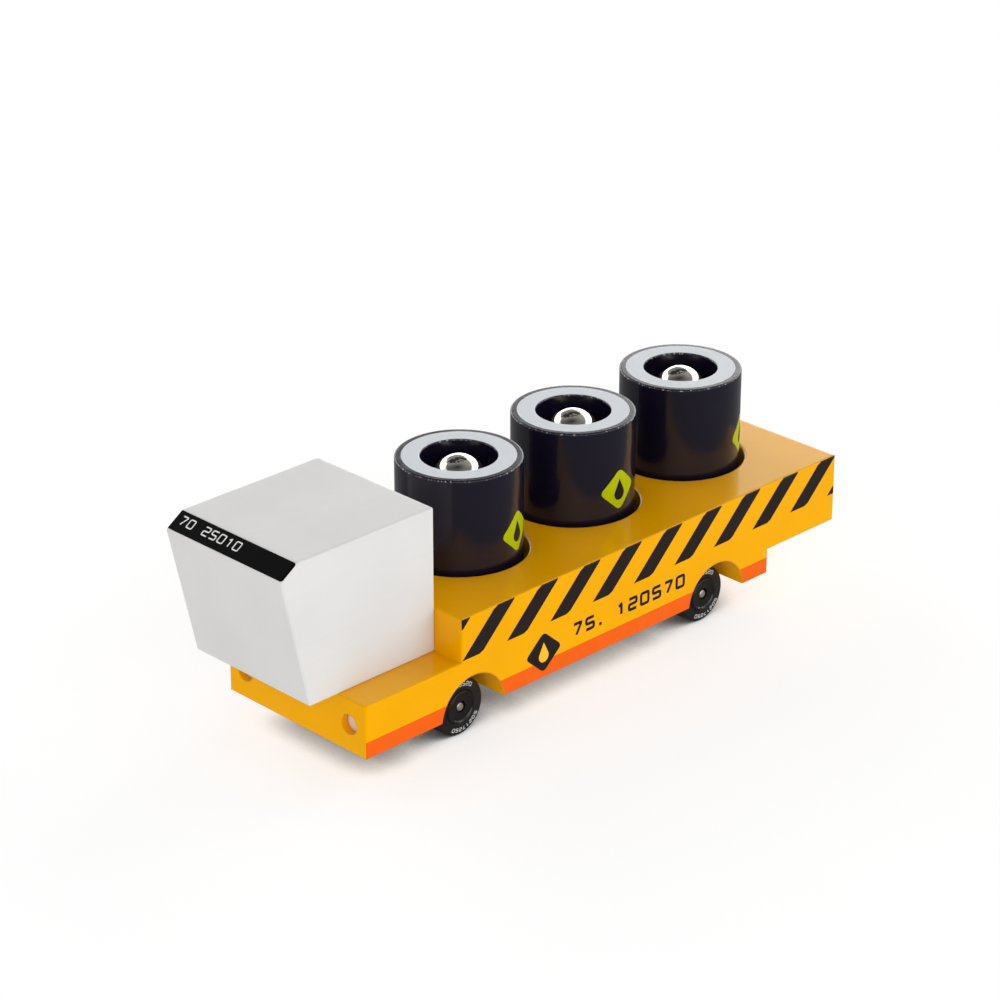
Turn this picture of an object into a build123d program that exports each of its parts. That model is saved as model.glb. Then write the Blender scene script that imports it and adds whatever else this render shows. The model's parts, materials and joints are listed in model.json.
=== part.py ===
from build123d import *
import os

# Wooden toy tanker truck. Millimetres, +X towards the nose, +Y to the truck's left, +Z up.
# The origin lies on the ground, under the middle of the body's width and of the truck's length.

# ---- driving dimensions -------------------------------------------------------------------
BODY_WIDTH = 56.0
BODY_LENGTH = 192.0
BODY_BOTTOM_Z = 9.8
DECK_TOP_Z = 25.8
DECK_LENGTH = 35.6
BED_TOP_Z = 39.0
OVERHANG_LENGTH = 29.8        # the part of the bed behind the step in the underside
OVERHANG_Z = 17.5
EDGE_ROUND = 0.6
CUT_MARGIN = 1.0              # how far a cutting shape runs past the face it opens

NOSE_OVERHANG = 19.0          # how far the cab's brow stands out past the body's front face
CAB_WIDTH = 46.7              # centred on the drums' row, so it stands out past the body's right side
CAB_ROOF_Z = 69.2
BROW_Z = 65.3                 # lower edge of the bevelled brow
BROW_SET_BACK = 5.9           # from the brow's lower edge back to the roof's front edge
FACE_RAKE = 8.9               # from the brow's lower edge back to the foot of the cab's face

HEADLAMP_DIAMETER = 6.0
HEADLAMP_OFFSET = 21.3        # each side of the centre line
HEADLAMP_Z = 18.1
HEADLAMP_BORE_DEPTH = 4.2
HEADLAMP_THICKNESS = 2.0
HEADLAMP_CHAMFER = 0.2

DRUM_DIAMETER = 36.4
DRUM_TOP_Z = 67.3
DRUM_BORE_DIAMETER = 21.8
DRUM_BORE_DEPTH = 10.0
DRUM_FOOT_ROUND = 0.8
DRUM_TOP_ROUND = 0.5
ROW_Y = -6.0                  # the cab and the drums stand in a row right of the centre line
FIRST_DRUM_SETBACK = 67.5     # from the body's front face to the first drum's axis
DRUM_PITCH = 45.8
POCKET_DIAMETER = 39.6
POCKET_DEPTH = 10.0
POCKET_CHAMFER = 0.4
BALL_DIAMETER = 15.875        # a standard 5/8 inch steel ball

TYRE_DIAMETER = 17.4
HUB_SEAT_DIAMETER = 10.4      # where the tyre grips the hub
HUB_BOSS_RADIUS = 2.6
HUB_LIP_RADII = (4.9, 4.4)
HUB_DISH_RADIUS = 4.0
HUB_WELL_RADIUS = 1.9
HUB_BOSS_Y = 14.2             # hub and tyre faces, as distances from the centre line
HUB_BACK_Y = 15.9
HUB_SHOULDER_Y = 22.7
HUB_FACE_Y = 23.3
HUB_DISH_Y = 22.9
HUB_WELL_FLOOR_Y = 21.9
HUB_LIP_ROUND = 0.2
HUB_DISH_ROUND = 0.3
TYRE_BACK_Y = 15.4
TYRE_BACK_SEAT_Y = 15.7
TYRE_TREAD_END_Y = 22.4
TYRE_WALL_Y = 22.5
TYRE_FACE_Y = 22.8
TYRE_SHOULDER = 0.9
TYRE_SHOULDER_ROUND = 0.8
TYRE_LIP_ROUND = 0.2
FRONT_AXLE_SETBACK = 40.0     # from the body's front face to the front axle
WHEELBASE = 99.5
ARCH_RADIUS = 12.0
WEB_HALF_WIDTH = 13.5         # half of the wood left between a left and a right wheel pocket

AXLE_DIAMETER = 2.4
AXLE_CLEARANCE = 0.04         # radial, between an axle and its sleeve
SLEEVE_DIAMETER = 3.8
AXLE_END_Y = 22.7
AXLE_END_CHAMFER = 0.2
SLEEVE_PROUD = 0.3            # out past each side of the web
AXLE_BLOCK_LENGTH = 20.0      # along X
AXLE_BLOCK_BOTTOM_Z = 5.2
AXLE_BLOCK_TOP_Z = 14.0
AXLE_BLOCK_CHAMFER = 0.6

SCREW_OFFSET = 6.6            # fore and aft of the axle
SCREW_SHANK_DIAMETER = 2.8
SCREW_HEAD_DIAMETER = 5.6
SCREW_HEAD_HEIGHT = 1.4
SCREW_LENGTH = 16.0
SCREW_POINT_LENGTH = 2.5
SCREW_POINT_RADIUS = 0.3
SCREW_CLEARANCE = 0.1         # radial, in the axle block
SCREW_CROSS = (2.8, 0.6, 1.8)
DOWEL_DIAMETER = 6.0
DOWEL_LENGTH = 16.0
DOWEL_SPREAD = 12.0           # each side of the cab's middle
DOWEL_AIR = 0.3               # left over at each end of a dowel's hole
DOWEL_CHAMFER = 0.5
TOLERANCE = 0.01              # for picking edges by where they lie

# ---- places worked out from the driving dimensions ----------------------------------------
NOSE_X = (BODY_LENGTH + NOSE_OVERHANG) / 2
FRONT_X = NOSE_X - NOSE_OVERHANG
REAR_X = FRONT_X - BODY_LENGTH
STEP_X = FRONT_X - DECK_LENGTH
NOTCH_X = REAR_X + OVERHANG_LENGTH
SIDE_Y = BODY_WIDTH / 2
AXLE_Z = TYRE_DIAMETER / 2
AXLE_X = {"front": FRONT_X - FRONT_AXLE_SETBACK, "rear": FRONT_X - FRONT_AXLE_SETBACK - WHEELBASE}
DRUM_X = {
    name: FRONT_X - FIRST_DRUM_SETBACK - place * DRUM_PITCH
    for place, name in enumerate(("front", "middle", "rear"))
}
POCKET_FLOOR_Z = BED_TOP_Z - POCKET_DEPTH
DOWEL_X = (STEP_X + FRONT_X) / 2
DOWEL_Y = (ROW_Y - DOWEL_SPREAD, ROW_Y + DOWEL_SPREAD)


def along_y(radius, y_low, y_high, x, z):
    """A cylinder lying along Y between two values of Y."""
    length = y_high - y_low
    return Pos(x, (y_low + y_high) / 2, z) * Rot(90, 0, 0) * Cylinder(radius, length)


def upright(radius, z_low, z_high, x, y):
    """A cylinder standing along Z between two heights."""
    return Pos(x, y, (z_low + z_high) / 2) * Cylinder(radius, z_high - z_low)


def wheel_part(points, rounds):
    """Turns a (radius, distance from the centre line) outline about the axle's line."""
    profile = make_face(Polyline(*points, close=True))
    for index, radius in rounds.items():
        corner = profile.vertices().sort_by_distance(points[index])[0]
        profile = fillet(corner, radius)
    return revolve(profile, Axis.Y)


def block_from_outline(points, width, concave=()):
    """Extrudes a side outline (x, z) across Y and rounds every edge but the concave ones."""
    side = Plane.XZ * make_face(Polyline(*points, close=True))
    block = extrude(side, width / 2, both=True)

    def is_concave(edge):
        middle = edge @ 0.5
        return any(abs(middle.X - x) < TOLERANCE and abs(middle.Z - z) < TOLERANCE for x, z in concave)

    return fillet([edge for edge in block.edges() if not is_concave(edge)], EDGE_ROUND)


def axle_block_space(x):
    height = AXLE_BLOCK_TOP_Z - AXLE_BLOCK_BOTTOM_Z
    middle_z = (AXLE_BLOCK_TOP_Z + AXLE_BLOCK_BOTTOM_Z) / 2
    return Pos(x, 0, middle_z) * Box(AXLE_BLOCK_LENGTH, 2 * WEB_HALF_WIDTH, height)


def screw_places():
    return [x + side * SCREW_OFFSET for x in AXLE_X.values() for side in (1, -1)]


def chassis_body():
    outline = [
        (REAR_X, OVERHANG_Z),
        (REAR_X, BED_TOP_Z),
        (STEP_X, BED_TOP_Z),
        (STEP_X, DECK_TOP_Z),
        (FRONT_X, DECK_TOP_Z),
        (FRONT_X, BODY_BOTTOM_Z),
        (NOTCH_X, BODY_BOTTOM_Z),
        (NOTCH_X, OVERHANG_Z),
    ]
    concave = [(STEP_X, DECK_TOP_Z), (NOTCH_X, OVERHANG_Z)]
    body = block_from_outline(outline, BODY_WIDTH, concave)
    for x in AXLE_X.values():
        body -= along_y(ARCH_RADIUS, WEB_HALF_WIDTH, SIDE_Y + CUT_MARGIN, x, AXLE_Z)
        body -= along_y(ARCH_RADIUS, -SIDE_Y - CUT_MARGIN, -WEB_HALF_WIDTH, x, AXLE_Z)
        body -= axle_block_space(x)
    for x in DRUM_X.values():
        body -= upright(POCKET_DIAMETER / 2, POCKET_FLOOR_Z, BED_TOP_Z + CUT_MARGIN, x, ROW_Y)
    rims = [
        edge
        for edge in body.edges().filter_by(GeomType.CIRCLE)
        if abs(edge.radius - POCKET_DIAMETER / 2) < TOLERANCE
        and abs(edge.center().Z - BED_TOP_Z) < TOLERANCE
    ]
    body = chamfer(rims, POCKET_CHAMFER)
    for side in (1, -1):
        middle_x = FRONT_X + (CUT_MARGIN - HEADLAMP_BORE_DEPTH) / 2
        bore = Rot(0, 90, 0) * Cylinder(HEADLAMP_DIAMETER / 2, HEADLAMP_BORE_DEPTH + CUT_MARGIN)
        body -= Pos(middle_x, side * HEADLAMP_OFFSET, HEADLAMP_Z) * bore
    for y in DOWEL_Y:
        low = DECK_TOP_Z - DOWEL_LENGTH / 2 - DOWEL_AIR
        body -= upright(DOWEL_DIAMETER / 2, low, DECK_TOP_Z + CUT_MARGIN, DOWEL_X, y)
    for x in screw_places():
        tip = AXLE_BLOCK_BOTTOM_Z + SCREW_LENGTH
        body -= upright(SCREW_SHANK_DIAMETER / 2, BODY_BOTTOM_Z, tip, x, 0)
    return body


def cab_block():
    outline = [
        (STEP_X, DECK_TOP_Z),
        (STEP_X, CAB_ROOF_Z),
        (NOSE_X - BROW_SET_BACK, CAB_ROOF_Z),
        (NOSE_X, BROW_Z),
        (NOSE_X - FACE_RAKE, DECK_TOP_Z),
    ]
    cab = Pos(0, ROW_Y, 0) * block_from_outline(outline, CAB_WIDTH)
    for y in DOWEL_Y:
        high = DECK_TOP_Z + DOWEL_LENGTH / 2 + DOWEL_AIR
        cab -= upright(DOWEL_DIAMETER / 2, DECK_TOP_Z - CUT_MARGIN, high, DOWEL_X, y)
    return cab


def cab_dowels():
    low = DECK_TOP_Z - DOWEL_LENGTH / 2
    plain = Cylinder(DOWEL_DIAMETER / 2, DOWEL_LENGTH)
    dowel = chamfer(plain.edges().filter_by(GeomType.CIRCLE), DOWEL_CHAMFER)
    return Compound([Pos(DOWEL_X, y, low + DOWEL_LENGTH / 2) * dowel for y in DOWEL_Y])


def headlamp(side):
    x = FRONT_X - HEADLAMP_BORE_DEPTH + HEADLAMP_THICKNESS / 2
    disc = Rot(0, 90, 0) * Cylinder(HEADLAMP_DIAMETER / 2, HEADLAMP_THICKNESS)
    disc = chamfer(disc.edges().sort_by(Axis.X)[-1], HEADLAMP_CHAMFER)
    return Pos(x, side * HEADLAMP_OFFSET, HEADLAMP_Z) * disc


def ball_centre(x):
    return Pos(x, ROW_Y, DRUM_TOP_Z - BALL_DIAMETER / 2)


def drum(x):
    """A turned drum: a blind bore with a round seat for the ball in its floor."""
    blank = upright(DRUM_DIAMETER / 2, POCKET_FLOOR_Z, DRUM_TOP_Z, x, ROW_Y)
    bore_floor = DRUM_TOP_Z - DRUM_BORE_DEPTH
    body = blank - upright(DRUM_BORE_DIAMETER / 2, bore_floor, DRUM_TOP_Z + CUT_MARGIN, x, ROW_Y)
    body = fillet(body.edges().filter_by(GeomType.CIRCLE).group_by(Axis.Z)[0], DRUM_FOOT_ROUND)
    body = fillet(body.edges().filter_by(GeomType.CIRCLE).group_by(Axis.Z)[-1], DRUM_TOP_ROUND)
    return body - ball_centre(x) * Sphere(BALL_DIAMETER / 2)


def ball(x):
    return ball_centre(x) * Sphere(BALL_DIAMETER / 2)


def axle(x):
    rod = along_y(AXLE_DIAMETER / 2, -AXLE_END_Y, AXLE_END_Y, x, AXLE_Z)
    return chamfer(rod.edges().filter_by(GeomType.CIRCLE), AXLE_END_CHAMFER)


def axle_sleeve(x):
    end = WEB_HALF_WIDTH + SLEEVE_PROUD
    bore_end = end + CUT_MARGIN
    tube = along_y(SLEEVE_DIAMETER / 2, -end, end, x, AXLE_Z)
    return tube - along_y(AXLE_DIAMETER / 2 + AXLE_CLEARANCE, -bore_end, bore_end, x, AXLE_Z)


def axle_block(x):
    blank = axle_block_space(x)
    lower_edges = blank.edges().group_by(Axis.Z)[0]
    block = chamfer(lower_edges, AXLE_BLOCK_CHAMFER)
    reach = WEB_HALF_WIDTH + CUT_MARGIN
    block -= along_y(SLEEVE_DIAMETER / 2, -reach, reach, x, AXLE_Z)
    for side in (1, -1):
        screw_x = x + side * SCREW_OFFSET
        low, high = AXLE_BLOCK_BOTTOM_Z - CUT_MARGIN, AXLE_BLOCK_TOP_Z + CUT_MARGIN
        block -= upright(SCREW_SHANK_DIAMETER / 2 + SCREW_CLEARANCE, low, high, screw_x, 0)
        block -= screw_head(screw_x)
    return block


def screw_head(x):
    """The countersunk cone, wide end level with the block's underside."""
    middle_z = AXLE_BLOCK_BOTTOM_Z + SCREW_HEAD_HEIGHT / 2
    narrow_end = SCREW_SHANK_DIAMETER / 2 + SCREW_CLEARANCE
    return Pos(x, 0, middle_z) * Cone(SCREW_HEAD_DIAMETER / 2, narrow_end, SCREW_HEAD_HEIGHT)


def screw(x):
    tip_z = AXLE_BLOCK_BOTTOM_Z + SCREW_LENGTH
    shank_radius = SCREW_SHANK_DIAMETER / 2
    shank = upright(shank_radius, AXLE_BLOCK_BOTTOM_Z, tip_z - SCREW_POINT_LENGTH, x, 0)
    point = Cone(shank_radius, SCREW_POINT_RADIUS, SCREW_POINT_LENGTH)
    whole = shank + Pos(x, 0, tip_z - SCREW_POINT_LENGTH / 2) * point + screw_head(x)
    for turn in (0, 90):
        whole -= Pos(x, 0, AXLE_BLOCK_BOTTOM_Z) * Rot(0, 0, turn) * Box(*SCREW_CROSS)
    return whole


def axle_block_screws():
    return Compound([screw(x) for x in screw_places()])


def hub():
    """Outline of (radius, distance from the centre line): boss, tyre seat, rim lip, dish, centre well."""
    seat = HUB_SEAT_DIAMETER / 2
    shaft = AXLE_DIAMETER / 2
    points = [
        (shaft, HUB_BOSS_Y),
        (HUB_BOSS_RADIUS, HUB_BOSS_Y),
        (HUB_BOSS_RADIUS, HUB_BACK_Y),
        (seat, HUB_BACK_Y),
        (seat, HUB_SHOULDER_Y),
        (HUB_LIP_RADII[0], HUB_FACE_Y),
        (HUB_LIP_RADII[1], HUB_FACE_Y),
        (HUB_DISH_RADIUS, HUB_DISH_Y),
        (HUB_WELL_RADIUS, HUB_SHOULDER_Y),
        (HUB_WELL_RADIUS, HUB_WELL_FLOOR_Y),
        (shaft, HUB_WELL_FLOOR_Y),
    ]
    return wheel_part(points, {5: HUB_LIP_ROUND, 6: HUB_LIP_ROUND, 7: HUB_DISH_ROUND})


def tyre():
    """Outline of (radius, distance from the centre line), with a sidewall that swells to the hub."""
    seat = HUB_SEAT_DIAMETER / 2
    tread = TYRE_DIAMETER / 2
    points = [
        (seat, TYRE_BACK_SEAT_Y),
        (tread - TYRE_SHOULDER, TYRE_BACK_Y),
        (tread, TYRE_BACK_Y),
        (tread, TYRE_TREAD_END_Y),
        (tread - TYRE_SHOULDER, TYRE_WALL_Y),
        (seat, TYRE_FACE_Y),
    ]
    return wheel_part(points, {2: TYRE_SHOULDER_ROUND, 3: TYRE_SHOULDER_ROUND, 5: TYRE_LIP_ROUND})


def wheel_pieces():
    """The four wheels: the same hub and tyre, mirrored across the truck."""
    pieces = {}
    for maker, name in ((hub, "hub"), (tyre, "tyre")):
        left = maker()
        right = mirror(left, Plane.XZ)
        for axle_name, x in AXLE_X.items():
            place = Pos(x, 0, AXLE_Z)
            pieces[f"{name}_{axle_name}_left"] = place * left
            pieces[f"{name}_{axle_name}_right"] = place * right
    return pieces


def all_pieces():
    pieces = {
        "chassis_body": chassis_body(),
        "cab_block": cab_block(),
        "cab_dowels": cab_dowels(),
        "headlamp_left": headlamp(1),
        "headlamp_right": headlamp(-1),
        "axle_block_screws": axle_block_screws(),
    }
    for name, x in DRUM_X.items():
        pieces[f"drum_{name}"] = drum(x)
        pieces[f"ball_{name}"] = ball(x)
    for name, x in AXLE_X.items():
        pieces[f"axle_{name}"] = axle(x)
        pieces[f"axle_sleeve_{name}"] = axle_sleeve(x)
        pieces[f"axle_block_{name}"] = axle_block(x)
    pieces.update(wheel_pieces())
    return pieces


os.makedirs("parts", exist_ok=True)
for node, shape in all_pieces().items():
    export_step(shape, f"parts/{node}.step")
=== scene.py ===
import json
import math

import bmesh
import bpy
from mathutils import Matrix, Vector


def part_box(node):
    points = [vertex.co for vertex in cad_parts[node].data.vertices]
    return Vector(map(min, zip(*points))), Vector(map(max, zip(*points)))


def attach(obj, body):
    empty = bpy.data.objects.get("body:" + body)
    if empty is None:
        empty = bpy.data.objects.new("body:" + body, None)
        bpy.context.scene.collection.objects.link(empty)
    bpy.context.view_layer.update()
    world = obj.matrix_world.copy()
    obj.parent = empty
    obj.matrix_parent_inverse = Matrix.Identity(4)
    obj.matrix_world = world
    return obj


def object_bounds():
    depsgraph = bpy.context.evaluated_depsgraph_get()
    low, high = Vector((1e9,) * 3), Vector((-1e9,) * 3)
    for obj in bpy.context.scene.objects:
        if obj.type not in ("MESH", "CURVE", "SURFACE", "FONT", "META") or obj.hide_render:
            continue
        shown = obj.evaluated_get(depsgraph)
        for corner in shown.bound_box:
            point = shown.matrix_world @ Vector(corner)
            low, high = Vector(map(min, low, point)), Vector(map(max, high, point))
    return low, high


# The looks of a painted wooden toy truck.
# Metres: +X towards the nose, +Y to the truck's left, +Z up.

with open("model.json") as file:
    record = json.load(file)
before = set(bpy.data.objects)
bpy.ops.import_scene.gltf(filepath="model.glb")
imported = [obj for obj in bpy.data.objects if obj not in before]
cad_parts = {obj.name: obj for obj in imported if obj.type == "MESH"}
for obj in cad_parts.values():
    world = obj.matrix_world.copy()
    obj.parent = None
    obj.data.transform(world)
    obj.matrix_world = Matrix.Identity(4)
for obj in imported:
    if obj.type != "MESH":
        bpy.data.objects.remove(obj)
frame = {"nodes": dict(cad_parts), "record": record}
cad_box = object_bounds()
MM = 0.001

# ---- sizes of the printed and painted marks ------------------------------------------------
PRINT_PROUD = 0.02 * MM       # how far a printed mark stands out of the surface
PRINT_SUNK = 0.03 * MM        # how far it reaches into the surface
EDGE_ROUND = 0.6 * MM         # the wooden blocks' rounded edges
PRINT_MARGIN = 0.12 * MM      # left clear at the outermost line of a rounded edge
ROUND_CUTS = (0.35, 0.5, 0.7, 1.0)    # shares of EDGE_ROUND where a mark is cut to bend with it
BEND_STEP = 1.2 * MM          # longest straight stretch of a mark that is bent round a drum
BEND_CUTS = 6                 # to each side of a drum badge's middle
SAME_POINT = 0.0001 * MM      # points nearer than this are one

STRIPE_WIDTH = 7.4 * MM       # along the truck
STRIPE_PITCH = 17.0 * MM
STRIPE_HEIGHT = 12.5 * MM
STRIPE_LEAN = 1.03            # forward shift of the foot, per unit of height
STRIPE_SETBACK = 12.9 * MM    # from the bed's front to the first whole stripe's top corner
STRIPE_NICK = 0.9 * MM        # the cut at each blunt corner, along the truck
STRIPE_NICK_RISE = 0.7        # and upwards, as a share of that

SKIRT_HEIGHT = 5.24 * MM      # the orange band along the bottom of each side
NOTCH_LENGTH = 29.8 * MM      # behind the step in the body's underside
ARCH_RADIUS = 12.0 * MM
ARCH_STEPS = 8                # straight stretches of the band's end along an arch

SIDE_BADGE_SETBACK = 31.6 * MM      # behind the bed's front
SIDE_BADGE_Z = 17.8 * MM
SIDE_BADGE_SIZE = (14.2 * MM, 12.6 * MM)
SIDE_BADGE_CORNER = 1.6 * MM
SIDE_DROP_HEIGHT = 6.2 * MM
SIDE_FIGURES = (("75.", 43.2 * MM), ("120570", 60.8 * MM))    # each with its start behind the step
SIDE_FIGURE_Z = 18.1 * MM
SIDE_FIGURE_SIZE = (4.0 * MM, 4.4 * MM)
SIDE_FIGURE_STROKE = 0.95 * MM

NOSE_OVERHANG = 19.0 * MM     # how far the cab's brow stands out past the body's front
BROW_SET_BACK = 5.9 * MM      # the cab's bevelled brow, measured along X
BROW_DROP = 3.9 * MM          # and along Z
SIGN_TOP_MARGIN = 0.2 * MM
SIGN_FOOT_MARGIN = 0.44 * MM
SIGN_END_MARGIN = 0.15 * MM
SIGN_CORNER = 0.8 * MM
SIGN_FIGURES = "70 25010"
SIGN_FIGURE_SIZE = (2.45 * MM, 3.0 * MM)
SIGN_FIGURE_STROKE = 0.4 * MM
SIGN_FIGURE_START = 2.35 * MM    # in from the cab's right side
SIGN_FIGURE_FOOT = 4.4 * MM   # down the brow from the roof

RING_INNER = 11.15 * MM
RING_OUTER = 16.3 * MM
RING_TURN = 0.1 * MM          # its first step down into the bore's rounded lip
RING_SEGMENTS = 144
BORE_RADIUS = 10.9 * MM
BORE_ROUND = 0.5 * MM
DRUM_BADGE_ANGLES = {"front": 109.0, "middle": 92.0, "rear": 124.0}    # degrees from +X towards +Y
DRUM_BADGE_DEPTH = 19.6 * MM  # its middle, below the drum's top
DRUM_BADGE_SIZE = (14.4 * MM, 13.2 * MM)
DRUM_BADGE_CORNER = 1.8 * MM
DRUM_DROP_HEIGHT = 6.6 * MM

TYRE_MARK_RADIUS = 7.0 * MM   # middle of the figures on a tyre
TYRE_MARK_SIZE = (1.08 * MM, 1.25 * MM)
TYRE_MARK_STROKE = 0.2 * MM
TYRE_MARKS = (("50217250", 163.0), ("7120520", 0.0))    # each with its degrees from the top
TYRE_SEAT_RADIUS = 5.2 * MM
TYRE_WALL_SLOPE = 0.115       # how fast the side wall falls away towards the tread
TYRE_LIP_DROP = 0.025 * MM    # what its rounded lip takes off the side wall's outermost point

# ---- places read from the frame ------------------------------------------------------------
body_low, body_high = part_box("chassis_body")
cab_low, cab_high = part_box("cab_block")
step_x = cab_low.x
bed_z = body_high.z
notch_x = body_low.x + NOTCH_LENGTH


# ---- colours and node recipes --------------------------------------------------------------
MIX_SHARE, MIX_FIRST, MIX_SECOND, MIX_RESULT = 0, 6, 7, 2    # sockets of a Mix node for colours
EDGE_SAMPLES = 6
EDGE_COSINES = (0.985, 0.8)   # from a flat to an edge, between the true and the rounded normal
RIM_FOOT = (0.05, 0.18)       # how far the surface faces up where a drum's rim begins
RIM_HEAD = (0.9, 0.7)         # and where it has become the flat top
SOFT_EDGE_SAMPLES = 8

# Sizes of the features in each finish.
LACQUER_SHINE = 0.42
CLOUD_SIZE = 26 * MM
FIBRE_SIZE = 1.6 * MM
FIBRE_WIDTH = 0.5             # of the fibre size, across the grain
FIBRE_LENGTH = 14.0           # and along it
FINE_SIZE = 0.7 * MM
SPECK_SIZE = 1.6 * MM
# The edges' lighter tone, partly worn thin paint and partly a painted highlight: its reach and the
# size of its breaks.
WORN_AND_LIT_EDGE = 0.45 * MM
EDGE_WEAR_AND_HIGHLIGHT_SIZE = 1.8 * MM
# size of the painted glints broken along the rims
PAINTED_GLINT_SIZE = 0.8 * MM
SMEAR_SIZE = 9 * MM
PEEL_SIZE = 1.1 * MM
INK_COVER_SIZE = 0.5 * MM
INK_PATCH_SIZE = 5 * MM
TEXTURE_SIZE = 0.25 * MM
TEXTURE_DEPTH = 0.003 * MM
SCUFF_SIZE = 1.4 * MM
DUSTY_EDGE = 0.3 * MM
SCRATCH_SIZE = 0.35 * MM
SCRATCH_STRETCH = 12
SMUDGE_SIZE = 3 * MM
BEECH_RING_SIZE = 2.4 * MM
BEECH_RING_STRETCH = (1, 9, 1)
BEECH_RAY_SIZE = 0.35 * MM
BEECH_RAY_STRETCH = (1, 5, 1)
BEECH_RAY_DEPTH = 0.02 * MM


def linear(red, green, blue):
    """An sRGB colour, 0 to 255, as the linear colour that shader sockets take."""
    def one(value):
        share = value / 255
        return share / 12.92 if share <= 0.04045 else ((share + 0.055) / 1.055) ** 2.4
    return (one(red), one(green), one(blue), 1.0)


# The colour of the painted glints: light dashes on upward rims that stand in for highlights.
PAINTED_GLINT_TONE = linear(214, 214, 222)


def scaled(colour, factor):
    """The colour made darker or lighter."""
    return tuple(min(1.0, channel * factor) for channel in colour[:3]) + (1.0,)


def feed(tree, socket, value):
    """Links another node's socket, or sets a plain value."""
    if isinstance(value, bpy.types.NodeSocket):
        tree.links.new(value, socket)
    else:
        socket.default_value = value


def add_node(tree, kind, sockets, **settings):
    made = tree.nodes.new("ShaderNode" + kind)
    for name, value in settings.items():
        setattr(made, name, value)
    for socket, value in sockets.items():
        feed(tree, made.inputs[socket], value)
    return made


def add_ramp(tree, value, start, end, low, high):
    """Maps start..end smoothly to low..high, and holds the ends."""
    sockets = {"Value": value, "From Min": start, "From Max": end, "To Min": low, "To Max": high}
    return add_node(tree, "MapRange", sockets, interpolation_type="SMOOTHSTEP").outputs[0]


def add_cosine(tree, first, second):
    """The cosine of the angle between two directions of length 1."""
    sockets = {0: first, 1: second}
    return add_node(tree, "VectorMath", sockets, operation="DOT_PRODUCT").outputs["Value"]


class Recipe:
    """One node material in the making: a Principled surface and the nodes that feed it."""

    def __init__(self, name, **fixed):
        self.material = bpy.data.materials.new(name)
        self.material.use_nodes = True
        self.tree = self.material.node_tree
        self.surface = self.tree.nodes["Principled BSDF"]
        for socket, value in fixed.items():
            self.surface.inputs[socket.replace("_", " ")].default_value = value
        self.place = self.node("TexCoord").outputs["Object"]

    def node(self, kind, sockets=None, **settings):
        return add_node(self.tree, kind, sockets or {}, **settings)

    def noise(self, size, detail=3.0, stretch=(1, 1, 1), roughness=0.5, warp=0.0):
        """Noise about 0.5, with features of the given size, longer along the stretched axes."""
        scale = [1 / (size * s) for s in stretch]
        place = self.node("Mapping", {"Vector": self.place, "Scale": scale}).outputs[0]
        sockets = {"Vector": place, "Scale": 1.0, "Detail": detail}
        sockets.update({"Roughness": roughness, "Distortion": warp})
        return self.node("TexNoise", sockets).outputs[0]

    def ramp(self, value, start, end, low=0.0, high=1.0):
        return add_ramp(self.tree, value, start, end, low, high)

    def maths(self, operation, first, second=0.0):
        return self.node("Math", {0: first, 1: second}, operation=operation).outputs[0]

    def mix(self, share, first, second):
        sockets = {MIX_SHARE: share, MIX_FIRST: first, MIX_SECOND: second}
        return self.node("Mix", sockets, data_type="RGBA").outputs[MIX_RESULT]

    def edges(self, radius):
        """1 on sharp or tightly rounded edges, 0 on flats."""
        rounded = self.node("Bevel", {"Radius": radius}, samples=EDGE_SAMPLES).outputs[0]
        plain = self.node("NewGeometry").outputs["Normal"]
        return self.ramp(add_cosine(self.tree, rounded, plain), *EDGE_COSINES)

    def rim(self):
        """1 on the rounded upper edges of an upright turned piece."""
        normal = self.node("TexCoord").outputs["Normal"]
        rise = self.node("SeparateXYZ", {"Vector": normal}).outputs["Z"]
        return self.maths("MULTIPLY", self.ramp(rise, *RIM_FOOT), self.ramp(rise, *RIM_HEAD))

    def bump(self, height, depth, below=None):
        sockets = {"Height": height, "Distance": depth, "Strength": 1.0}
        if below is not None:
            sockets["Normal"] = below
        return self.node("Bump", sockets).outputs[0]

    def finish(self, colour=None, roughness=None, normal=None):
        fed = {"Base Color": colour, "Roughness": roughness, "Normal": normal}
        for socket, value in fed.items():
            if value is not None:
                feed(self.tree, self.surface.inputs[socket], value)
        return self.material


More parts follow.
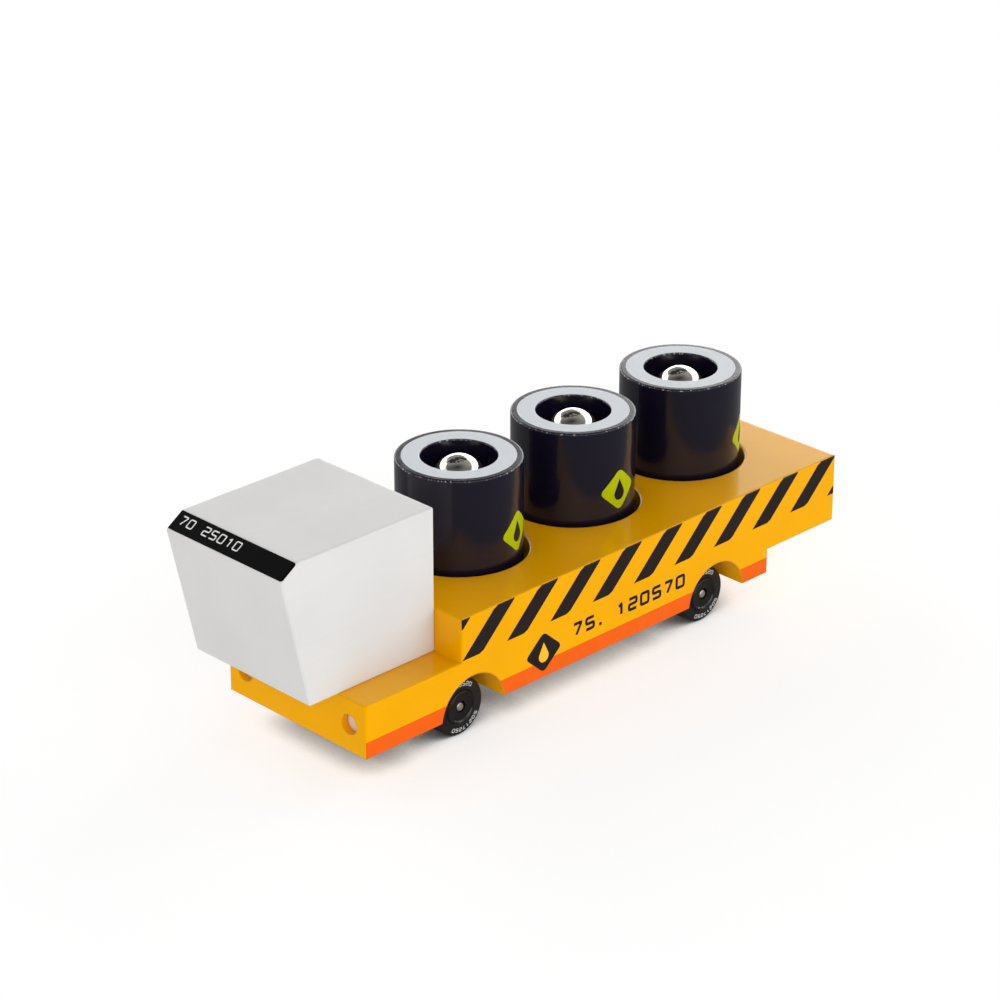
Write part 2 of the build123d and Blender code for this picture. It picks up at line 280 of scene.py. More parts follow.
def painted_wood(name, colour, gloss, edge_wear_and_highlight_tone, peel=0.006, grain=0.004, grain_axis=0,
                 dirt=0.08, soft_edge=0.9, painted_glints=0.0, glance=(1, 1, 1, 1)):
    """Lacquer on sanded wood: clouding, faint grain, orange peel, and lighter edges of thin paint
    and painted highlight.

    peel, grain and soft_edge are in mm, and dirt and the strength of the painted rim glints are
    shares. glance tints what the lacquer mirrors head on.
    """
    recipe = Recipe(name, Specular_IOR_Level=LACQUER_SHINE, Specular_Tint=glance)
    along = [FIBRE_WIDTH] * 3
    along[grain_axis] = FIBRE_LENGTH
    cloud = recipe.noise(CLOUD_SIZE, detail=2.0)
    fibre = recipe.noise(FIBRE_SIZE, detail=4.0, stretch=along, roughness=0.6)
    fine = recipe.noise(FINE_SIZE, detail=2.0)
    tone = recipe.mix(recipe.ramp(cloud, 0.3, 0.7), scaled(colour, 0.975), scaled(colour, 1.02))
    tone = recipe.mix(recipe.ramp(fibre, 0.45, 0.75, 0.0, 0.2), tone, scaled(colour, 0.92))
    specks = recipe.noise(SPECK_SIZE, detail=6.0, roughness=0.75)
    tone = recipe.mix(recipe.ramp(specks, 0.7, 0.78, 0.0, dirt), tone, scaled(colour, 0.7))
    # The lighter edge tone is partly worn thin paint and partly a painted highlight.
    edge = recipe.edges(WORN_AND_LIT_EDGE)
    wear_and_highlight = recipe.ramp(recipe.noise(EDGE_WEAR_AND_HIGHLIGHT_SIZE, detail=4.0), 0.4, 0.65, 0.15, 0.75)
    tone = recipe.mix(recipe.maths("MULTIPLY", edge, wear_and_highlight), tone, edge_wear_and_highlight_tone)
    # Painted glints: light broken dashes on the upward-facing rims, standing in for specular
    # highlights.
    if painted_glints:
        broken = recipe.noise(PAINTED_GLINT_SIZE, detail=4.0, roughness=0.65)
        broken = recipe.ramp(broken, 0.56, 0.64, 0.0, painted_glints)
        glints = recipe.maths("MULTIPLY", recipe.rim(), broken)
        tone = recipe.mix(glints, tone, PAINTED_GLINT_TONE)
    smear = recipe.noise(SMEAR_SIZE, detail=4.0, warp=0.8)
    dull = recipe.ramp(smear, 0.35, 0.7, gloss * 0.85, gloss * 1.3)
    dull = recipe.maths("ADD", dull, recipe.maths("MULTIPLY", edge, 0.08))
    eased = recipe.node("Bevel", {"Radius": soft_edge * MM}, samples=SOFT_EDGE_SAMPLES).outputs[0]
    normal = recipe.bump(recipe.noise(PEEL_SIZE, detail=2.0), peel * MM, eased)
    relief = recipe.maths("ADD", fibre, recipe.maths("MULTIPLY", fine, 0.3))
    return recipe.finish(tone, dull, recipe.bump(relief, grain * MM, normal))


def printed_ink(name, colour, gloss, speckle=0.12, peel=0.004, cloud=0.04, shine=0.35,
                glance=(1, 1, 1, 1)):
    """A pad-printed mark: slightly uneven cover, with pinholes and a dry satin surface."""
    recipe = Recipe(name, Specular_IOR_Level=shine, Specular_Tint=glance)
    cover = recipe.noise(INK_COVER_SIZE, detail=3.0, roughness=0.6)
    patch = recipe.noise(INK_PATCH_SIZE, detail=3.0)
    thin, thick = scaled(colour, 1 - cloud), scaled(colour, 1 + cloud)
    tone = recipe.mix(recipe.ramp(patch, 0.3, 0.7), thin, thick)
    tone = recipe.mix(recipe.ramp(cover, 0.52, 0.75, 0.0, speckle), tone, scaled(colour, 0.5))
    tone = recipe.mix(recipe.ramp(cover, 0.3, 0.18, 0.0, speckle), tone, scaled(colour, 1.7))
    dull = recipe.ramp(patch, 0.3, 0.7, gloss * 0.85, gloss * 1.2)
    return recipe.finish(tone, dull, recipe.bump(cover, peel * MM))


def moulded_plastic(name, colour, gloss, dust):
    """Injection-moulded black plastic: fine texture, scuffs and dust on its edges."""
    recipe = Recipe(name, Specular_IOR_Level=0.5)
    texture = recipe.noise(TEXTURE_SIZE, detail=2.0)
    scuff = recipe.noise(SCUFF_SIZE, detail=5.0, roughness=0.7, warp=0.6)
    edge = recipe.edges(DUSTY_EDGE)
    tone = recipe.mix(recipe.ramp(scuff, 0.5, 0.8, 0.0, 0.35), colour, scaled(colour, 2.0))
    tone = recipe.mix(recipe.maths("MULTIPLY", edge, dust), tone, scaled(colour, 4.0))
    dull = recipe.ramp(scuff, 0.3, 0.75, gloss * 0.8, gloss * 1.5)
    return recipe.finish(tone, dull, recipe.bump(texture, TEXTURE_DEPTH))


def metal(name, colour, gloss, brushed=None, scratch=0.001):
    """Bare metal with scratches and smudges; brushed is the axis that the scratches follow."""
    recipe = Recipe(name, Metallic=1.0)
    stretch = [1, 1, 1]
    if brushed is not None:
        stretch[brushed] = SCRATCH_STRETCH
    lines = recipe.noise(SCRATCH_SIZE, detail=4.0, stretch=stretch, roughness=0.7)
    smudge = recipe.noise(SMUDGE_SIZE, detail=4.0, warp=1.0)
    tone = recipe.mix(recipe.ramp(smudge, 0.35, 0.7), scaled(colour, 0.9), colour)
    dull = recipe.ramp(smudge, 0.35, 0.75, gloss, gloss * 1.8)
    return recipe.finish(tone, dull, recipe.bump(lines, scratch * MM))


def bare_beech(name):
    """Unpainted beech: growth rings along the grain, short dark rays and a dry sanded surface."""
    recipe = Recipe(name, Specular_IOR_Level=0.25)
    rings = recipe.noise(BEECH_RING_SIZE, detail=3.0, stretch=BEECH_RING_STRETCH, warp=0.7)
    rays = recipe.noise(BEECH_RAY_SIZE, detail=2.0, stretch=BEECH_RAY_STRETCH)
    tone = recipe.mix(recipe.ramp(rings, 0.35, 0.65), linear(214, 178, 132), linear(188, 146, 100))
    tone = recipe.mix(recipe.ramp(rays, 0.6, 0.72, 0.0, 0.5), tone, linear(140, 98, 62))
    dull = recipe.ramp(rings, 0.3, 0.7, 0.55, 0.75)
    return recipe.finish(tone, dull, recipe.bump(rays, BEECH_RAY_DEPTH))


YELLOW = linear(238, 167, 0)
WARM_GLANCE = (1.0, 0.7, 0.0, 1.0)    # what little a warm paint mirrors head on
# Each paint's fourth value is its edge tone: worn thin paint and a painted highlight along the
# edges.
materials = {
    "body_yellow_paint": painted_wood(
        "yellow_lacquer", YELLOW, 0.16, linear(250, 196, 50), glance=WARM_GLANCE),
    "cab_white_paint": painted_wood(
        "white_lacquer", linear(215, 214, 213), 0.36, linear(226, 226, 226),
        peel=0.002, grain=0.0015, dirt=0.04),
    # The drum's rims carry painted glints, and its grey edge tone is partly a painted highlight.
    "drum_navy_paint": painted_wood(
        "navy_lacquer", linear(17, 13, 30), 0.17, linear(58, 56, 64),
        peel=0.028, grain=0.01, grain_axis=2, soft_edge=0.5, painted_glints=0.65),
    "headlamp_pale": painted_wood(
        "headlamp_paint", linear(226, 205, 212), 0.35, linear(235, 220, 222)),
    "bare_wood": bare_beech("bare_beech"),
    "screw_steel": metal("zinc_plated_steel", linear(196, 198, 200), 0.28),
    "axle_steel": metal("axle_steel", linear(214, 208, 198), 0.3, brushed=1, scratch=0.003),
    "sleeve_brass": metal("sleeve_brass", linear(214, 176, 96), 0.3, brushed=1),
    "ball_chrome": metal("ball_chrome", linear(238, 232, 222), 0.05, scratch=0.0002),
    "hub_black": moulded_plastic("hub_plastic", linear(18, 17, 18), 0.12, 0.2),
    "tyre_black": moulded_plastic("tyre_plastic", linear(20, 19, 19), 0.34, 0.25),
}
ink_black = printed_ink("black_ink", linear(33, 27, 24), 0.4, shine=0.2)
ink_sign = printed_ink("sign_black_ink", linear(5, 5, 6), 0.3, speckle=0.05, shine=0.03)
ink_orange = printed_ink("orange_paint", linear(236, 94, 18), 0.22, speckle=0.02, cloud=0.02,
                         glance=WARM_GLANCE)
ink_lime = printed_ink("lime_ink", linear(168, 181, 0), 0.4, speckle=0.3, peel=0.008, shine=0.25,
                       glance=WARM_GLANCE)
ink_white = printed_ink("white_ink", linear(232, 232, 230), 0.4, speckle=0.1)
ink_yellow = printed_ink("yellow_ink", linear(250, 186, 10), 0.35)
ink_grey = printed_ink("grey_ring_paint", linear(203, 208, 213), 0.38, speckle=0.02, cloud=0.02)
ink_navy = printed_ink("navy_ink", linear(18, 15, 26), 0.35, speckle=0.05, shine=0.15)
ink_tyre = printed_ink("tyre_white_ink", linear(200, 200, 200), 0.45)

slot_of = {row["node"]: row["material_slot"] for row in frame["record"]["subparts"]}
for name, piece in frame["nodes"].items():
    piece.data.materials.clear()
    piece.data.materials.append(materials[slot_of[name]])


# ---- flat outlines -------------------------------------------------------------------------
def softened(points, radius, closed=True, steps=3):
    """The outline with each corner replaced by a curve that starts and ends radius from it."""
    count = len(points)
    soft = []
    for index, corner in enumerate(points):
        if not closed and index in (0, count - 1):
            soft.append(corner)
            continue
        here = Vector(corner)
        before = Vector(points[index - 1]) - here
        after = Vector(points[(index + 1) % count]) - here
        start = here + before.normalized() * min(radius, before.length / 2)
        end = here + after.normalized() * min(radius, after.length / 2)
        for step in range(steps + 1):
            t = step / steps
            soft.append(tuple(start * (1 - t) ** 2 + here * (2 * t * (1 - t)) + end * t ** 2))
    return soft


def diamond(width, height, corner):
    """A diamond about the origin, its corners softened."""
    points = [(width / 2, 0), (0, height / 2), (-width / 2, 0), (0, -height / 2)]
    return softened(points, corner, steps=5)


DROP_BELLY = 0.31             # radius of a drop's round belly, for its height
DROP_BELLY_START = -215       # degrees, where the belly leaves the left side
DROP_BELLY_SWEEP = 250
DROP_BELLY_STEPS = 20


def droplet(height):
    """A drop: a round belly under two sides that run up to a point."""
    radius = height * DROP_BELLY
    belly = [
        math.radians(DROP_BELLY_START + DROP_BELLY_SWEEP * step / DROP_BELLY_STEPS)
        for step in range(DROP_BELLY_STEPS + 1)
    ]
    points = [(radius * math.cos(a), radius * math.sin(a) - height / 2 + radius) for a in belly]
    return points + [(0, height / 2)]


LEAST_MITRE = 0.5             # holds a sharp corner's mitre to twice the stroke


def ribbon(points, width, closed):
    """Quads along a line, with mitred corners."""
    line = [Vector(p) for p in points]
    count = len(line)
    sides = []
    for index, here in enumerate(line):
        first, last = index == 0, index == count - 1
        before = (here - line[index - 1]).normalized() if closed or not first else None
        after = (line[(index + 1) % count] - here).normalized() if closed or not last else None
        ahead = ((before or after) + (after or before)).normalized()
        across = Vector((-ahead.y, ahead.x))
        stretch = 1 / max(LEAST_MITRE, ahead.dot(after or before))
        reach = across * (width / 2 * stretch)
        sides.append((here + reach, here - reach))
    pairs = zip(sides, sides[1:] + sides[:1]) if closed else zip(sides, sides[1:])
    return [[tuple(a[0]), tuple(a[1]), tuple(b[1]), tuple(b[0])] for a, b in pairs]


# Each figure is one line on a square of side 1, so that no stroke crosses another.
FIGURES = {
    "0": ([(0, 0), (1, 0), (1, 1), (0, 1)], True),
    "1": ([(0.25, 0.75), (0.6, 1), (0.6, 0)], False),
    "2": ([(0, 1), (1, 1), (1, 0.5), (0, 0.5), (0, 0), (1, 0)], False),
    "5": ([(1, 1), (0, 1), (0, 0.5), (1, 0.5), (1, 0), (0, 0)], False),
    "7": ([(0, 1), (1, 1), (0.35, 0)], False),
    ".": ([(0.1, 0), (0.42, 0)], False),
}
FIGURE_GAP = 0.23             # between figures, for their height
FIGURE_CORNER = 0.13          # softened, for their height
STOP_WIDTH = 0.3              # a full stop's, for a figure's


def figures(text, size, stroke):
    """Outlines of a row of figures that starts at the origin, and the row's length."""
    width, height = size
    outlines = []
    at = 0.0
    for character in text:
        if character in FIGURES:
            line, closed = FIGURES[character]
            points = [
                (at + stroke / 2 + x * (width - stroke), stroke / 2 + y * (height - stroke))
                for x, y in line
            ]
            outlines += ribbon(softened(points, height * FIGURE_CORNER, closed, 2), stroke, closed)
        at += (width if character != "." else width * STOP_WIDTH) + height * FIGURE_GAP
    return outlines, at - height * FIGURE_GAP


# ---- printed pieces ------------------------------------------------------------------------
def skin_piece(name, body, material, skin):
    """Makes a piece of the finished skin, which moves with the CAD body."""
    bmesh.ops.recalc_face_normals(skin, faces=skin.faces)
    mesh = bpy.data.meshes.new(name)
    skin.to_mesh(mesh)
    skin.free()
    mesh.materials.append(material)
    piece = bpy.data.objects.new(name, mesh)
    bpy.context.scene.collection.objects.link(piece)
    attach(piece, body)


def cut(flat, point, across, clear_outer=False):
    """Cuts a flat drawing with a plane; clear_outer drops what lies beyond it."""
    everything = flat.verts[:] + flat.edges[:] + flat.faces[:]
    bmesh.ops.bisect_plane(flat, geom=everything, plane_co=point, plane_no=across,
                           clear_outer=clear_outer)


def printed(name, body, material, outlines, place, cuts_u=(), cuts_v=(), keep=()):
    """A thin closed skin over the outlines, which are flat (u, v) points.

    place maps (u, v) to a point on the surface and the way out of it. The skin can bend at the
    cuts. keep holds planes, each a point and the way out, and nothing beyond them is kept.
    """
    flat = bmesh.new()
    for outline in outlines:
        flat.faces.new([flat.verts.new((u, v, 0)) for u, v in outline])
    bmesh.ops.remove_doubles(flat, verts=flat.verts, dist=SAME_POINT)
    for point, outward in keep:
        cut(flat, point, outward, clear_outer=True)
    for cuts, axis in ((cuts_u, Vector((1, 0, 0))), (cuts_v, Vector((0, 1, 0)))):
        for distance in cuts:
            cut(flat, axis * distance, axis)
    bmesh.ops.triangulate(flat, faces=flat.faces)
    skin = bmesh.new()
    outer, inner = {}, {}
    for vert in flat.verts:
        point, out = place(vert.co.x, vert.co.y)
        outer[vert] = skin.verts.new(point + out * PRINT_PROUD)
        inner[vert] = skin.verts.new(point - out * PRINT_SUNK)
    for face in flat.faces:
        skin.faces.new([outer[v] for v in face.verts])
        skin.faces.new([inner[v] for v in reversed(face.verts)])
    for edge in flat.edges:
        if edge.is_boundary:
            a, b = edge.verts
            skin.faces.new([outer[a], outer[b], inner[b], inner[a]])
    flat.free()
    skin_piece(name, body, material, skin)


def round_drop(depth):
    """How far a rounded edge has fallen away at a depth in from its outermost line."""
    if depth >= EDGE_ROUND:
        return 0.0
    return EDGE_ROUND - math.sqrt(EDGE_ROUND ** 2 - (EDGE_ROUND - max(depth, 0.0)) ** 2)


def round_cuts(edge, inward):
    """Lines across a rounded edge, close together where it curves most."""
    return [edge + inward * EDGE_ROUND * share for share in ROUND_CUTS]


def on_side(side, low_x, high_x, low_z, high_z):
    """Places (x, z) on the body's left (1) or right (-1) face.

    The mark follows the rounded edges at the limits given; None is no limit.
    """
    def place(x, z):
        depths = [x - low_x, high_x - x]
        depths += [z - low_z] if low_z is not None else []
        depths += [high_z - z] if high_z is not None else []
        y = body_high.y - round_drop(min(depths))
        return Vector((x, side * y, z)), Vector((0, side, 0))
    return place


def stripe(top_x):
    """One leaning stripe with its top front corner at top_x: its two blunt corners are nicked."""
    top = bed_z - PRINT_MARGIN
    foot = bed_z - STRIPE_HEIGHT
    shift = STRIPE_LEAN * (top - foot)
    nick_z = STRIPE_NICK_RISE * STRIPE_NICK
    nick_x = STRIPE_LEAN * nick_z
    rear_x = top_x - STRIPE_WIDTH
    return [
        (rear_x, top),
        (top_x - STRIPE_NICK, top),
        (top_x + nick_x, top - nick_z),
        (top_x + shift, foot),
        (rear_x + shift + STRIPE_NICK, foot),
        (rear_x + shift - nick_x, foot + nick_z),
    ]


def hazard_stripes(side, name):
    """The row of black stripes along the bed's side, cut off at both ends of the bed."""
    low, high = body_low.x, step_x
    first = step_x - STRIPE_SETBACK
    count = math.ceil((first - low) / STRIPE_PITCH) + 1
    outlines = [stripe(first - number * STRIPE_PITCH) for number in range(-1, count)]
    keep = [
        ((low + PRINT_MARGIN, 0, 0), (-1, 0, 0)),
        ((high - PRINT_MARGIN, 0, 0), (1, 0, 0)),
    ]
    place = on_side(side, low, high, None, bed_z)
    cuts_x = round_cuts(low, 1) + round_cuts(high, -1)
    cuts_z = round_cuts(bed_z, -1)
    printed(name, "chassis", ink_black, outlines, place, cuts_x, cuts_z, keep)


def skirt_outline(low_x, high_x, low_z, high_z, arches):
    """A stretch of the orange band; an end that meets a wheel arch follows its curve."""
    def end(x, inward):
        for axle_x, axle_z in arches:
            if abs(x - axle_x) < SAME_POINT:
                rise = high_z - low_z
                rises = [low_z + rise * step / ARCH_STEPS for step in range(ARCH_STEPS + 1)]
                reaches = [inward * math.sqrt(ARCH_RADIUS ** 2 - (z - axle_z) ** 2) for z in rises]
                return [(axle_x + reach, z) for reach, z in zip(reaches, rises)]
        return [(x + inward * PRINT_MARGIN, low_z), (x + inward * PRINT_MARGIN, high_z)]
    return end(low_x, 1) + end(high_x, -1)[::-1]


def orange_skirt(side, name):
    """The orange band along the foot of one side, in three stretches between the wheel arches."""
    low_z = body_low.z + PRINT_MARGIN
    high_z = body_low.z + SKIRT_HEIGHT
    arches = []
    for which in ("front", "rear"):
        low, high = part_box(f"axle_{which}")
        arches.append(((low.x + high.x) / 2, (low.z + high.z) / 2))
    marks = [body_high.x, arches[0][0], arches[1][0], notch_x]
    outlines = [
        skirt_outline(rear, front, low_z, high_z, arches) for front, rear in zip(marks, marks[1:])
    ]
    place = on_side(side, notch_x, body_high.x, body_low.z, None)
    cuts_x = round_cuts(notch_x, 1) + round_cuts(body_high.x, -1)
    printed(name, "chassis", ink_orange, outlines, place, cuts_x, round_cuts(body_low.z, 1))


def on_panel(side, start_x, foot_z, lift=0.0):
    """Places a flat drawing to read from left to right on the left (1) or right (-1) face."""
    def place(u, v):
        out = Vector((0, side, 0))
        return Vector((start_x - side * u, side * body_high.y, foot_z + v)) + out * lift, out
    return place


def side_marks(side, name):
    """The badge and the row of figures on one side."""
    badge_x = step_x - SIDE_BADGE_SETBACK
    badge = [diamond(*SIDE_BADGE_SIZE, SIDE_BADGE_CORNER)]
    on_skirt = on_panel(side, badge_x, SIDE_BADGE_Z, PRINT_PROUD)
    printed(f"side_badge_{name}", "chassis", ink_black, badge, on_skirt)
    on_badge = on_panel(side, badge_x, SIDE_BADGE_Z, 2 * PRINT_PROUD)
    drop = [droplet(SIDE_DROP_HEIGHT)]
    printed(f"side_badge_drop_{name}", "chassis", ink_yellow, drop, on_badge)
    outlines = []
    for text, setback in SIDE_FIGURES:
        group, length = figures(text, SIDE_FIGURE_SIZE, SIDE_FIGURE_STROKE)
        start = setback if side > 0 else -(setback + length)
        outlines += [[(u + start, v) for u, v in outline] for outline in group]
    place = on_panel(side, step_x, SIDE_FIGURE_Z)
    printed(f"side_figures_{name}", "chassis", ink_black, outlines, place)


def on_brow(lift=0.0):
    """Places (distance along the brow from the truck's right, distance down it from the roof)."""
    down = Vector((BROW_SET_BACK, 0, -BROW_DROP)).normalized()
    out = Vector((-down.z, 0, down.x))
    corner = Vector((body_high.x + NOSE_OVERHANG - BROW_SET_BACK, cab_low.y, cab_high.z))
    width = cab_high.y - cab_low.y

    def place(u, v):
        height = lift - round_drop(min(u, width - u))
        return corner + Vector((0, u, 0)) + down * v + out * height, out
    return place


def cab_sign():
    """The black board on the cab's brow, bent a little way round the cab's rounded ends."""
    width = cab_high.y - cab_low.y
    left, right = SIGN_END_MARGIN, width - SIGN_END_MARGIN
    top, foot = SIGN_TOP_MARGIN, math.hypot(BROW_SET_BACK, BROW_DROP) - SIGN_FOOT_MARGIN
    corners = [(left, top), (left, foot), (right, foot), (right, top)]
    plate = softened(corners, SIGN_CORNER, steps=5)
    cuts = round_cuts(0, 1) + round_cuts(width, -1)
    printed("cab_sign", "chassis", ink_sign, [plate], on_brow(), cuts)
    outlines, _ = figures(SIGN_FIGURES, SIGN_FIGURE_SIZE, SIGN_FIGURE_STROKE)
    placed = [
        [(u + SIGN_FIGURE_START, SIGN_FIGURE_FOOT - v) for u, v in outline] for outline in outlines
    ]
    printed("cab_sign_figures", "chassis", ink_white, placed, on_brow(PRINT_PROUD))


def drum_axis(name):
    """A drum's middle in x and y, its radius and the height of its top."""
    low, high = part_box(f"drum_{name}")
    return (low.x + high.x) / 2, (low.y + high.y) / 2, (high.x - low.x) / 2, high.z


def drum_ring(name):
    """The grey ring painted on a drum's top, turned a little way into its bore's rounded lip."""
    x, y, _, top = drum_axis(name)
    lip = BORE_RADIUS + BORE_ROUND
    radii = [RING_INNER, RING_INNER + RING_TURN, lip, RING_OUTER]

    def place(radius, step):
        angle = 2 * math.pi * step / RING_SEGMENTS
        away = Vector((math.cos(angle), math.sin(angle), 0))
        lean = max(0.0, (lip - radius) / BORE_ROUND)
        drop = BORE_ROUND * (1 - math.sqrt(1 - lean ** 2))
        out = Vector((0, 0, math.sqrt(1 - lean ** 2))) - away * lean
        return Vector((x, y, top - drop)) + away * radius, out

    skin = bmesh.new()
    rows = []
    for radius in radii:
        row = []
        for step in range(RING_SEGMENTS):
            point, out = place(radius, step)
            upper = skin.verts.new(point + out * PRINT_PROUD)
            row.append((upper, skin.verts.new(point - out * PRINT_SUNK)))
        rows.append(row)
    for step in range(RING_SEGMENTS):
        after = (step + 1) % RING_SEGMENTS
        for inner, outer in zip(rows, rows[1:]):
            skin.faces.new([inner[step][0], outer[step][0], outer[after][0], inner[after][0]])
            skin.faces.new([inner[after][1], outer[after][1], outer[step][1], inner[step][1]])
        for row in (rows[0], rows[-1]):
            skin.faces.new([row[step][0], row[step][1], row[after][1], row[after][0]])
    skin_piece(f"drum_ring_{name}", f"{name}_drum", ink_grey, skin)


def on_drum(name, lift=0.0):
    """Places a flat drawing round a drum's side, centred on its badge."""
    x, y, radius, top = drum_axis(name)
    middle = math.radians(DRUM_BADGE_ANGLES[name])

    def place(u, v):
        angle = middle + u / radius
        out = Vector((math.cos(angle), math.sin(angle), 0))
        return Vector((x, y, top - DRUM_BADGE_DEPTH + v)) + out * (radius + lift), out
    return place


def drum_marks(name):
    """The lime badge with a dark drop, bent round a drum's side."""
    cuts = [BEND_STEP * step for step in range(-BEND_CUTS, BEND_CUTS + 1)]
    badge = [diamond(*DRUM_BADGE_SIZE, DRUM_BADGE_CORNER)]
    printed(f"drum_badge_{name}", f"{name}_drum", ink_lime, badge, on_drum(name), cuts)
    drop = [droplet(DRUM_DROP_HEIGHT)]
    on_badge = on_drum(name, PRINT_PROUD)
    printed(f"drum_badge_drop_{name}", f"{name}_drum", ink_navy, drop, on_badge, cuts)


def tyre_marks(which, side, side_name):
    """Small white figures round a tyre's outer wall."""
    low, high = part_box(f"tyre_{which}_{side_name}")
    centre = Vector(((low.x + high.x) / 2, 0, (low.z + high.z) / 2))
    wall_y = max(abs(low.y), abs(high.y))
    outlines = []
    for text, middle in TYRE_MARKS:
        row, length = figures(text, TYRE_MARK_SIZE, TYRE_MARK_STROKE)
        start = math.radians(middle) * TYRE_MARK_RADIUS - length / 2
        foot = -TYRE_MARK_SIZE[1] / 2
        outlines += [[(u + start, v + foot) for u, v in outline] for outline in row]

    def place(u, v):
        turn = u / TYRE_MARK_RADIUS
        radius = TYRE_MARK_RADIUS + v
        away = Vector((-side * math.sin(turn), 0, math.cos(turn)))
        y = wall_y + TYRE_LIP_DROP - (radius - TYRE_SEAT_RADIUS) * TYRE_WALL_SLOPE
        return centre + away * radius + Vector((0, side * y, 0)), Vector((0, side, 0))

    printed(f"tyre_figures_{which}_{side_name}", f"{which}_wheelset", ink_tyre, outlines, place)


for side, side_name in ((1, "left"), (-1, "right")):
    hazard_stripes(side, f"hazard_stripes_{side_name}")
    orange_skirt(side, f"orange_skirt_{side_name}")
    side_marks(side, side_name)
    for which in ("front", "rear"):
        tyre_marks(which, side, side_name)
cab_sign()
for name in DRUM_BADGE_ANGLES:
    drum_ring(name)
    drum_marks(name)


# ---- floor, light and camera ---------------------------------------------------------------
FLOOR_TONE = 0.42
FLOOR_CLOUD = 0.01            # how much lighter or darker it is in patches
FLOOR_CLOUD_SIZE = 0.2
FLOOR_GLOW = 0.65
FLOOR_MIRRORED = 0.3          # the grey that glossy paint mirrors it as
# Painted contact shadow: near things, an occlusion mask darkens the floor's glow and its paper
# tone.
CONTACT_REACH = 20 * MM       # how near a thing shades the floor's own light
CONTACT_SAMPLES = 16
CONTACT_DARK = 0.1            # shares of open view, fully shaded and clear
CONTACT_CLEAR = 0.52
CONTACT_SHARE = 0.05          # of the floor's own light left under the full painted shadow
CONTACT_TONE = 0.15           # of the paper's whiteness left under the full painted shadow


def grey(tone):
    return (tone, tone, tone, 1.0)


def floor_material():
    """White paper lit through from below, which glossy paint mirrors only faintly, with a painted
    contact shadow near things.
    """
    recipe = Recipe("studio_floor", Specular_IOR_Level=0.0)
    cloud = recipe.noise(FLOOR_CLOUD_SIZE, detail=3.0)
    light, dark = grey(FLOOR_TONE + FLOOR_CLOUD), grey(FLOOR_TONE - FLOOR_CLOUD)
    paper = recipe.mix(recipe.ramp(cloud, 0.3, 0.7), dark, light)
    # Painted contact shadow: the occlusion darkens both the glow and the paper near things.
    contact = recipe.node("AmbientOcclusion", {"Distance": CONTACT_REACH}, samples=CONTACT_SAMPLES)
    open_share = contact.outputs["AO"]
    least_glow = FLOOR_GLOW * CONTACT_SHARE
    glow = recipe.ramp(open_share, CONTACT_DARK, CONTACT_CLEAR, least_glow, FLOOR_GLOW)
    mirrored = recipe.node("LightPath").outputs["Is Glossy Ray"]
    glow = recipe.maths("MULTIPLY", glow, recipe.maths("SUBTRACT", 1.0, mirrored))
    paper_left_by_painted_shadow = recipe.ramp(open_share, CONTACT_DARK, CONTACT_CLEAR, CONTACT_TONE, 1.0)
    paper = recipe.mix(paper_left_by_painted_shadow, grey(0), paper)
    feed(recipe.tree, recipe.surface.inputs["Emission Color"], grey(1))
    feed(recipe.tree, recipe.surface.inputs["Emission Strength"], glow)
    tone = recipe.mix(mirrored, paper, grey(FLOOR_MIRRORED))
    return recipe.finish(tone, recipe.ramp(cloud, 0.3, 0.7, 0.8, 0.9))


def studio_floor(radius=6.0, segments=64):
    mesh = bpy.data.meshes.new("studio_floor")
    disc = bmesh.new()
    bmesh.ops.create_circle(disc, cap_ends=True, segments=segments, radius=radius)
    disc.to_mesh(mesh)
    disc.free()
    mesh.materials.append(floor_material())
    floor = bpy.data.objects.new("studio_floor", mesh)
    bpy.context.scene.collection.objects.link(floor)


# Soft lights are patches of bright sky: direction, strength, and the cosines where one begins
# and is full.
SKY_BASE = 0.05
SKY_LIGHTS = (
    ((-0.64, -0.65, 0.30), 3.50, 0.10, 0.70),
    ((-0.10, 0.86, 0.42), 2.15, 0.40, 0.92),
    ((0.90, 0.05, 0.35), 1.33, 0.40, 0.92),
)
CEILING_BEGIN = 0.64          # the dark ceiling, by the sine of its elevation
CEILING_FULL = 0.74
CEILING_SHARE = 0.12          # of the light that would come from there
RIG_DIRECTION = (-0.37, -0.54, 0.75)    # a dark, broken lamp rig that the balls mirror
RIG_BEGIN = 0.80              # cosines where it begins and is full
RIG_FULL = 0.92
RIG_GRAIN = 5.0               # scale, detail and roughness of the noise that breaks it up
RIG_DETAIL = 3.0
RIG_ROUGHNESS = 0.7
RIG_WEIGHT = 0.5              # of nearness to its middle, against the noise
RIG_COVER_BEGIN = 0.88        # the sum of the two where it begins to shade, and where it is full
RIG_COVER_FULL = 0.93
RIG_SHARE = 0.1               # of the light that gets past it


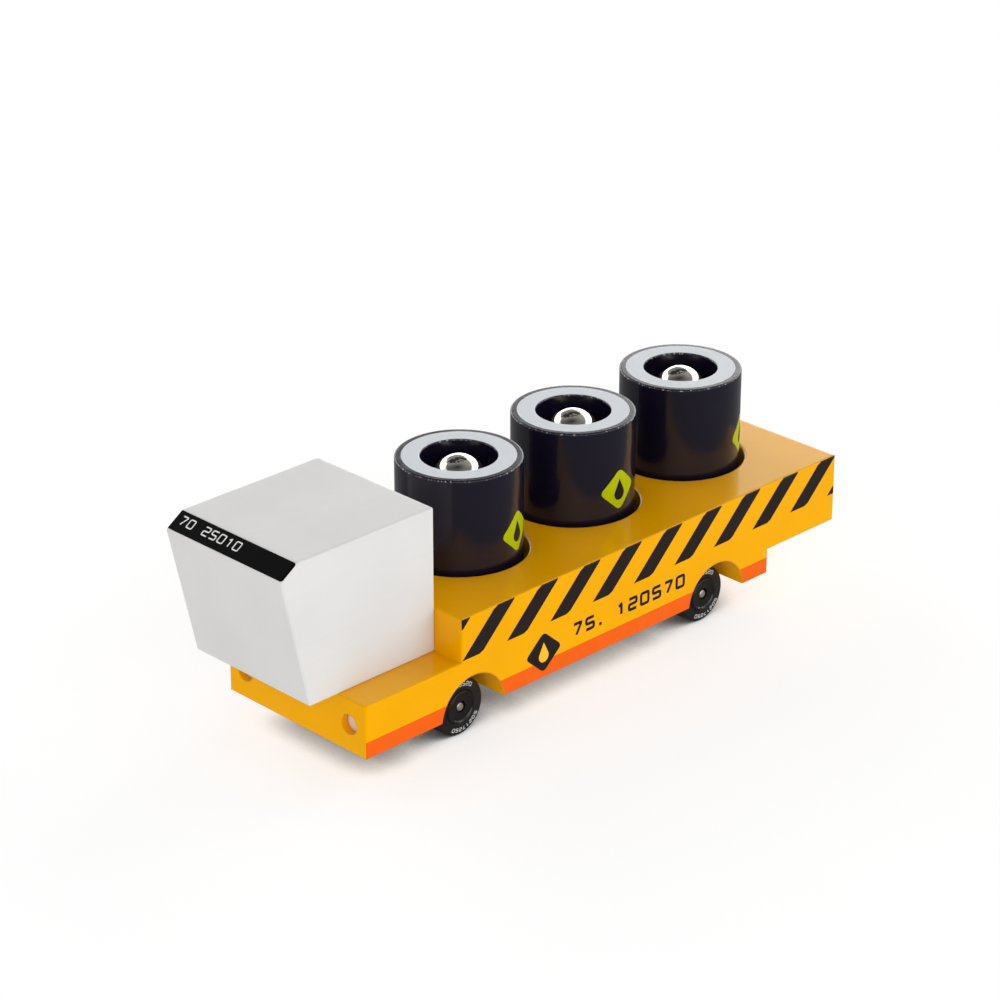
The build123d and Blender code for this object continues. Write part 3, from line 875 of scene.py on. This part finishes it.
def studio_sky():
    """Soft patches of light over a dark ceiling; the camera itself sees plain white."""
    world = bpy.data.worlds.new("studio_sky")
    bpy.context.scene.world = world
    world.use_nodes = True
    tree = world.node_tree
    tree.nodes.clear()

    def maths(operation, first, second):
        return add_node(tree, "Math", {0: first, 1: second}, operation=operation).outputs[0]

    way = add_node(tree, "TexCoord", {}).outputs["Generated"]
    total = SKY_BASE
    for direction, strength, begin, full in SKY_LIGHTS:
        cosine = add_cosine(tree, way, Vector(direction).normalized())
        total = maths("ADD", add_ramp(tree, cosine, begin, full, 0.0, strength), total)
    height = add_node(tree, "SeparateXYZ", {"Vector": way}).outputs["Z"]
    ceiling = add_ramp(tree, height, CEILING_BEGIN, CEILING_FULL, 1.0, CEILING_SHARE)
    total = maths("MULTIPLY", total, ceiling)
    cosine = add_cosine(tree, way, Vector(RIG_DIRECTION).normalized())
    nearness = add_ramp(tree, cosine, RIG_BEGIN, RIG_FULL, 0.0, RIG_WEIGHT)
    grain = {"Vector": way, "Scale": RIG_GRAIN, "Detail": RIG_DETAIL, "Roughness": RIG_ROUGHNESS}
    speckle = add_node(tree, "TexNoise", grain).outputs[0]
    cover = maths("ADD", nearness, speckle)
    rig = add_ramp(tree, cover, RIG_COVER_BEGIN, RIG_COVER_FULL, 1.0, RIG_SHARE)
    total = maths("MULTIPLY", total, rig)
    seen = add_node(tree, "LightPath", {}).outputs["Is Camera Ray"]
    sockets = {"Factor": seen, "A": total, "B": 1.0}
    shown = add_node(tree, "Mix", sockets, data_type="FLOAT").outputs[0]
    background = add_node(tree, "Background", {"Strength": shown})
    add_node(tree, "OutputWorld", {"Surface": background.outputs[0]})


CAMERA_AZIMUTH = 135.394
CAMERA_ELEVATION = 24.842
CAMERA_DISTANCE = 0.9259
CAMERA_LENS = 116.4
CAMERA_AIM = (0.6 * MM, -7.675 * MM, 11.95 * MM)    # from the middle of the object's box


def studio_camera():
    data = bpy.data.cameras.new("studio_camera")
    data.lens = CAMERA_LENS
    camera = bpy.data.objects.new("studio_camera", data)
    bpy.context.scene.collection.objects.link(camera)
    turn, rise = math.radians(CAMERA_AZIMUTH), math.radians(CAMERA_ELEVATION)
    level = math.cos(rise)
    back = Vector((math.sin(turn) * level, -math.cos(turn) * level, math.sin(rise)))
    aim = (cad_box[0] + cad_box[1]) / 2 + Vector(CAMERA_AIM)
    camera.location = aim + back * CAMERA_DISTANCE
    camera.rotation_mode = "QUATERNION"
    camera.rotation_quaternion = back.to_track_quat("Z", "Y")
    bpy.context.scene.camera = camera


studio_floor()
studio_sky()
studio_camera()
bpy.context.scene.view_settings.view_transform = "Standard"
